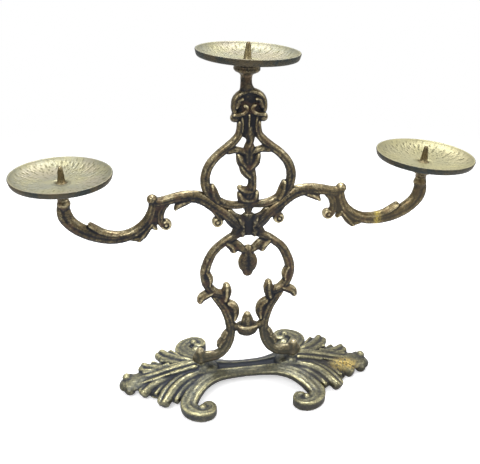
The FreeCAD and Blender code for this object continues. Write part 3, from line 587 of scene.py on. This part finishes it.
for stations, section in [
    ([(0.4, 287, 5.4), (0, 277, 6), (0.6, 267, 5.6), (3, 258, 5), (4, 250, 4.6),
      (3.4, 243, 5.2), (1, 236, 5.6), (0, 228, 5.4), (0, 220, 5), (0, 216.6, 3.8)], fluted),
    ([(-1, 264, 4.4), (-6.4, 270.5, 5.4), (-9.4, 276.4, 4), (-10.6, 279, 2.6)], ribbed),
    ([(0.6, 256, 4.4), (-4, 261.6, 5), (-7.4, 266.8, 3)], ribbed),
    ([(2, 265, 4.4), (6.4, 270.5, 5.2), (8.8, 276, 3.8), (9.6, 278.6, 2.6)], ribbed),
    ([(2, 239, 4.4), (-4.4, 239.8, 5), (-8.6, 243, 3.4)], ribbed),
    ([(0, 229, 4.6), (-6, 230.8, 5.4), (-8.8, 236.4, 3.4)], ribbed),
    ([(1, 229, 4.6), (6, 230.2, 5.2), (8, 236.4, 3.4)], ribbed),
    ([(0.6, 306, 4.6), (0.8, 300, 5.8), (1.6, 294, 4), (0, 288.5, 4)], ribbed),
    ([(0, 320, 1.6), (-0.4, 311, 1.7), (0, 303, 1.7)], plain),
]:
    swept(ring_form, [(x, 0, z, w, 4.8) for x, z, w in stations], BACK, section)
swept(ring_form, [(0, 0, 304, 9, 3.2), (0, 0, 311, 10, 3.2), (0, 0, 318, 12, 3.2),
                  (0, 0, 325, 13.4, 3), (0, 0, 332, 14, 3), (0, 0, 338, 10.6, 3.4),
                  (0, 0, 342, 6, 4.4)], BACK, plain)
swept(ring_form, [(-1.8, 0, 341.6, 8.6, 4), (-2.5, 0, 345.6, 7.2, 5.4), (-3, 0, 350, 5.8, 5.6),
                  (-3.2, 0, 357, 5.5, 5.5)], BACK, plain)
ring = cast(ring_form, "ring_casting_visual", grain=0.65)
ring.data.materials.append(stem_brass)
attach(ring, "frame")
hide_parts("ring_casting")

# The two arms: brass castings, each brazed to the ring and the crossing. An arm runs out
# level as a leafy branch to a knob, drops a short tendril and swings down into a J that
# ends under its cup. The left one sags a little, and the right one has a mended braze.

arm_strands = [
    ([(10, 201, 4.6), (16.5, 207.5, 5.2), (25, 215.5, 6.2), (34, 222.8, 6.4), (42.5, 230, 6.6),
      (50.5, 235, 6.9), (58, 236.6, 6.6), (67, 237, 6.2), (76, 236, 5.7), (83, 234.6, 5.3),
      (91, 233, 5.1), (97.5, 233.6, 4.8)], fluted, 5.4),
    ([(97.6, 234, 4.5), (98.4, 227, 4.8), (100.8, 219.5, 5.3), (105, 212, 5.9),
      (111, 206.3, 6.1), (118, 202.2, 6.2), (126, 199.4, 6.2), (136.2, 198, 6.4),
      (148, 198.8, 6.8), (161, 202.2, 7.1), (171.5, 207.6, 7.3), (179.7, 214.4, 7.3),
      (185, 222.6, 7.6), (186.3, 231, 7), (185.5, 237, 6)], fluted, 5.6),
    ([(116, 205.6, 3), (127, 202.4, 3.2), (138, 202, 3.4), (148, 204, 3.8), (155.4, 207.8, 4),
      (159.6, 211, 3.6), (162, 213.2, 2.6)], ribbed, 4.9),
    ([(84.5, 231, 4), (88.8, 226, 4.3), (91.4, 219, 4.4), (91.2, 212, 4.2), (88.6, 206.2, 3)],
     fluted, 5),
    ([(93.5, 229, 5), (95, 221, 5), (97, 213, 5), (101, 207, 4)], plain, 3.4),
    ([(36.5, 221.5, 3.7), (31.6, 214.2, 3.6), (29.4, 208.4, 2.8)], fluted, 5),
    ([(9, 199.5, 6.4), (15, 206, 7.6), (21, 213, 6.4), (27, 219, 4)], plain, 3.2),
    ([(62, 232.6, 3.6), (68, 230.4, 4.2), (73.2, 227.2, 3.4), (75.6, 224.6, 1.8)], ribbed, 5.2),
    ([(99.6, 208.4, 4.2), (97.6, 205.6, 3.2), (95.8, 203.6, 1.6)], ribbed, 4.6),
    ([(100.6, 209.4, 3.2), (105.4, 203.6, 4), (110.4, 197.2, 4.2), (114, 193.2, 3)], ribbed, 5.2),
    ([(113.2, 194.8, 3.4), (118.4, 195.8, 3.6), (125, 197.8, 3)], plain, 5),
]
tendril_curls = [(85.6, 207.8, -25, -280), (32.6, 207, 160, 280)]
CURL_STEPS = 8
CURL_REACH = 4.2
LEFT_SAG = 2.2
SAG_MIDDLE = 136
SAG_SPREAD = 24
for right, name in ((-1, "left_arm"), (1, "right_arm")):
    arm_form = bmesh.new()
    sag = LEFT_SAG if right == -1 else 0
    for stations, section, deep in arm_strands:
        swept(arm_form, [(x * right, 0, z - sag * math.exp(-((x - SAG_MIDDLE) / SAG_SPREAD) ** 2),
                          w, deep) for x, z, w in stations], BACK, section)
    ball(arm_form, 98.6 * right, 0, 236.3, 5.5, 6, 5.4)
    for x, z, start, sweep in tendril_curls:
        wound = []
        for i in range(CURL_STEPS + 1):
            turn = math.radians(start + sweep * i / CURL_STEPS)
            reach = CURL_REACH - 0.12 * i
            wound.append(((x + reach * math.cos(turn)) * right, 0, z + reach * math.sin(turn),
                          2.3, 5))
        swept(arm_form, wound, BACK, plain, steps=2)
        ball(arm_form, x * right, 0, z, 3.2, 6, 3.2)
    swept(arm_form, [(185.4 * right, 0, 233.6, 5.8, 5.8), (185.4 * right, 0, 237.4, 6.8, 6.8),
                     (185.5 * right, 0, 240, 6, 6)], BACK, plain)
    arm = cast(arm_form, name + "_visual", grain=0.65)
    arm.data.materials.append(stem_brass)
    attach(arm, "frame")
    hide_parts(name)

# The three holders: on the top spigot and on each arm's end a turned cup, a round pan of
# paler brass with hammered floor, and a spike. The spike's shank passes through both and
# screws in, so its foot holds the pan, which can turn. Each holder leans a little.

holders = [("top", -3, 356, 3.3), ("left", -185.5, 243, 1.5), ("right", 185.5, 243, 3.6)]
cup_profile = [(2.55, 0), (5.6, 0), (5.7, 2.6), (7, 4.4), (9.4, 5.6), (11.4, 6.6), (12.7, 8.2),
               (13, 9.6), (12.5, 10.4), (12.9, 11.2), (13, 13.2), (12.4, 14.4), (11, 15),
               (2.55, 15)]
pan_under = [(2.55, 0), (16, 0), (28, 1.8), (40, 3.6), (46.6, 4.8), (48.2, 5.4), (49, 6.6),
             (49.5, 8.6), (50, 10.6), (49.8, 11.3), (49.2, 11.5)]
pan_bowl = [(48.6, 11.5), (48.1, 11), (47.4, 9.9), (44.6, 7.7), (40, 5.5), (35, 4.2), (30, 3.4),
            (24, 2.7), (16, 2.4), (11, 2.4), (6.05, 2.4), (6.05, 1), (2.55, 1)]
pricket_profile = [(0, -13), (2.5, -13), (2.5, 16.1), (5.8, 16.1), (6, 16.5), (5.4, 17.5),
                   (4.4, 18), (3.9, 18.6), (3.5, 22), (3, 26.5), (2.5, 30.5), (2.1, 33),
                   (1.5, 33.8), (0.8, 34.1), (0, 34.1)]
hammer_rows = [(46, 76, 0.34), (42.8, 78, 0.62), (39.4, 74, 0.66), (35.8, 70, 0.62),
               (32, 64, 0.55), (28.2, 57, 0.47), (24.2, 49, 0.4), (20, 40, 0.34), (15.8, 31, 0.28)]
HAMMER_WIDE = 0.88
HAMMER_LONG = 1.6
HAMMERED_FROM = 12
PAN_RADIUS = 50
PAN_LIFT = 15.05


def hammered(x, y):
    """Depth in mm of the hammer marks at a place on the pan's floor.

    Each row has its blows, and each blow lands a little off its place with its own weight.
    """
    radius = math.hypot(x, y)
    turn = math.atan2(y, x) / (2 * math.pi)
    depth = 0
    for i, (row, count, deep) in enumerate(hammer_rows):
        step = turn * count + 0.5 * (i % 2)
        blow = round(step) % count
        aside = (step - round(step) + 0.22 * math.sin(blow * 5.3 + i)) * 2 * math.pi * row / count
        along = radius - row + 0.7 * math.sin(blow * 3.1 + 2 * i)
        uneven = 0.68 + 0.55 * math.sin(blow * 2.4 + i)
        depth += deep * uneven * math.exp(-(aside / HAMMER_WIDE) ** 2 - (along / HAMMER_LONG) ** 2)
    return depth


pan_brass = bpy.data.materials.new("pan_brass")
pan_brass.use_nodes = True
Tone.tree = pan_brass.node_tree
pan_shader = pan_brass.node_tree.nodes["Principled BSDF"]
pan_place = Tone.make("TexCoord", "Object", {})
inside = Tone.make("Attribute", "Fac", {}, attribute_name="inside")
struck = Tone.make("Attribute", "Fac", {}, attribute_name="struck")
tarnish = Tone.make("TexNoise", 0, {"Vector": pan_place, "Scale": 45.0, "Detail": 5.0})
specks = Tone.make("TexNoise", 0, {"Vector": pan_place, "Scale": 420.0, "Detail": 4.0})
worn_dish = (tarnish + 0.5 * specks).between(0.55, 0.95).blend((0.262, 0.26, 0.2, 1),
                                                               (0.335, 0.315, 0.195, 1))
# Painted light: the right pan is made paler and more golden.
right_pan_lit = Tone.make("SeparateXYZ", "X", {0: pan_place}).between(0.1, 0.14)
flush = Tone.make("TexNoise", 0, {"Vector": pan_place, "Scale": 24.0, "Detail": 2.0})
blushed = (0.5 * flush.between(0.48, 0.62)).blend(worn_dish, (0.33, 0.29, 0.225, 1))
dish = (0.5 * right_pan_lit).blend(blushed, (0.42, 0.385, 0.2, 1))
marked = (struck * 2 + 0.5 * specks - 0.25).between(0.1, 0.9).blend(dish, (0.16, 0.15, 0.09, 1))
# The outer wall and underside are near-black: part tarnish, part painted shade.
wall = (tarnish + 0.4 * specks).between(0.55, 0.85).blend((0.016, 0.024, 0.023, 1),
                                                          (0.075, 0.058, 0.03, 1))
inside.between(0.35, 0.65).blend(wall, marked).feed(pan_shader, "Base Color")
(0.44 + 0.16 * specks + 0.06 * tarnish).feed(pan_shader, "Roughness")
(0.35 + 0.5 * inside).feed(pan_shader, "Metallic")
Tone.make("Bump", 0, {"Height": specks, "Strength": 0.15, "Distance": 0.0005}).feed(pan_shader,
                                                                                  "Normal")
pricket_brass = brass("pricket_brass", (0.05, 0.04, 0.025, 1), (0.16, 0.12, 0.062, 1),
                      (0.105, 0.086, 0.05, 1), (0.38, 0.32, 0.18, 1),
                      wear=1.55, grime_and_shade=-0.5, rough=0.44, top_highlight=0.0)


def turned(bm, name, place):
    """A smooth lathe-turned piece in its place."""
    bmesh.ops.recalc_face_normals(bm, faces=bm.faces)
    for face in bm.faces:
        face.smooth = True
    bmesh.ops.transform(bm, matrix=place, verts=bm.verts)
    return made_object(bm, name)


for side, x, z, tilt in holders:
    place = (Matrix.Translation(Vector((x, 0, z)) * MM)
             @ Matrix.Rotation(math.radians(tilt), 4, "Y"))
    cup_form = bmesh.new()
    spun(cup_form, cup_profile, 64)
    cup = turned(cup_form, side + "_cup_visual", place)
    cup.data.materials.append(stem_brass)
    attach(cup, "frame")
    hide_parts(side + "_cup")

    pan_form = bmesh.new()
    inner = pan_form.verts.layers.float.new("inside")
    dent = pan_form.verts.layers.float.new("struck")
    floor_line = [tuple(spot) for spot in through(pan_bowl[2:9], 5)]
    spun(pan_form, pan_under + pan_bowl[:2] + floor_line + pan_bowl[9:], 288)
    for vert in pan_form.verts:
        local = vert.co / MM
        radius = math.hypot(local.x, local.y)
        under = 2.2 + 5.06 * (radius / PAN_RADIUS) ** 4
        if local.z > under and radius < PAN_RADIUS - 0.6:
            vert[inner] = 1
        if vert[inner] > 0 and radius > HAMMERED_FROM:
            vert[dent] = hammered(local.x, local.y)
            vert.co.z -= vert[dent] * MM
    pan = turned(pan_form, side + "_pan_visual",
                 place @ Matrix.Translation(Vector((0, 0, PAN_LIFT)) * MM))
    pan.data.materials.append(pan_brass)
    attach(pan, side + "_pan")
    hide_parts(side + "_pan")

    pricket_form = bmesh.new()
    spun(pricket_form, pricket_profile, 40)
    pricket = turned(pricket_form, side + "_pricket_visual", place)
    pricket.data.materials.append(pricket_brass)
    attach(pricket, "frame")
    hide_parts(side + "_pricket")

# The photographer's white sweep: a pale floor that fades into a white surround, which
# the metal reflects, and large soft lamps above and to each side.

FLOOR_REACH = 2
FADE_FROM = 0.5
FADE_TO = 1.1
floor_form = bmesh.new()
bmesh.ops.create_grid(floor_form, x_segments=1, y_segments=1, size=FLOOR_REACH)
floor = made_object(floor_form, "floor")
floor_paint = bpy.data.materials.new("floor_paint")
floor_paint.use_nodes = True
Tone.tree = floor_paint.node_tree
floor_shader = floor_paint.node_tree.nodes["Principled BSDF"]
floor_shader.inputs["Base Color"].default_value = (1, 1, 1, 1)
floor_shader.inputs["Roughness"].default_value = 0.9
floor_shader.inputs["Emission Strength"].default_value = 1
seen = Tone.make("LightPath", "Is Camera Ray", {})
seen.blend((0, 0, 0, 1), (0.5, 0.5, 0.5, 1)).feed(floor_shader, "Emission Color")
spot_on_floor = Tone.make("TexCoord", "Object", {})
reach = Tone.make("VectorMath", "Value", {0: spot_on_floor}, operation="LENGTH")
(1 - reach.between(FADE_FROM, FADE_TO)).feed(floor_shader, "Alpha")
floor.data.materials.append(floor_paint)

world = bpy.context.scene.world or bpy.data.worlds.new("surround")
bpy.context.scene.world = world
world.use_nodes = True
Tone.tree = world.node_tree
surround = world.node_tree.nodes["Background"]
seen = Tone.make("LightPath", "Is Camera Ray", {})
shiny = (Tone.make("LightPath", "Is Glossy Ray", {})
         + Tone.make("LightPath", "Is Transmission Ray", {})).between(0.0, 1.0)
heading = Tone.make("TexCoord", "Generated", {})
behind = Tone.make("SeparateXYZ", "Y", {0: heading}).between(-0.9, 0.3)
above = Tone.make("SeparateXYZ", "Z", {0: heading}).between(-0.1, 0.8)
shine = 0.24 + 0.4 * behind + 0.5 * above
level = seen + (1 - seen) * (0.4 + shiny * (shine - 0.4))
surround.inputs["Color"].default_value = (1, 1, 1, 1)
level.feed(surround, "Strength")

STEM_MIDDLE = Vector((0, 0, 0.18))
for name, spot, size, watts in (("key", (-0.7, -0.9, 1.3), 0.7, 12),
                                ("fill", (1.1, -0.6, 0.8), 0.8, 6),
                                ("top", (0.1, 0.3, 1.5), 0.7, 18)):
    lamp_data = bpy.data.lights.new(name, "AREA")
    lamp_data.size = size
    lamp_data.energy = watts
    lamp = bpy.data.objects.new(name, lamp_data)
    lamp.location = spot
    lamp.rotation_mode = "QUATERNION"
    lamp.rotation_quaternion = (STEM_MIDDLE - Vector(spot)).to_track_quat("-Z", "Y")
    bpy.context.scene.collection.objects.link(lamp)

# The camera stands in front of the candelabra, a little to the left and above, as in the
# photograph. Its place was solved from the three pan rims and the mirrored scrollwork.

camera_data = bpy.data.cameras.new("photo_camera")
camera_data.sensor_width = 36
camera_data.lens = 45.438
camera_data.shift_x = 0.0346
camera_data.shift_y = -0.0944
camera = bpy.data.objects.new("photo_camera", camera_data)
view = Matrix(((0.99042, -0.13785, -0.00764), (0.06059, 0.38423, 0.92125),
               (-0.12406, -0.91289, 0.3889))).transposed().to_4x4()
view.translation = Vector((-102.21, -562.23, 484.9)) * MM
camera.matrix_world = view
bpy.context.scene.collection.objects.link(camera)
bpy.context.scene.camera = camera
bpy.context.scene.view_settings.view_transform = "Standard"
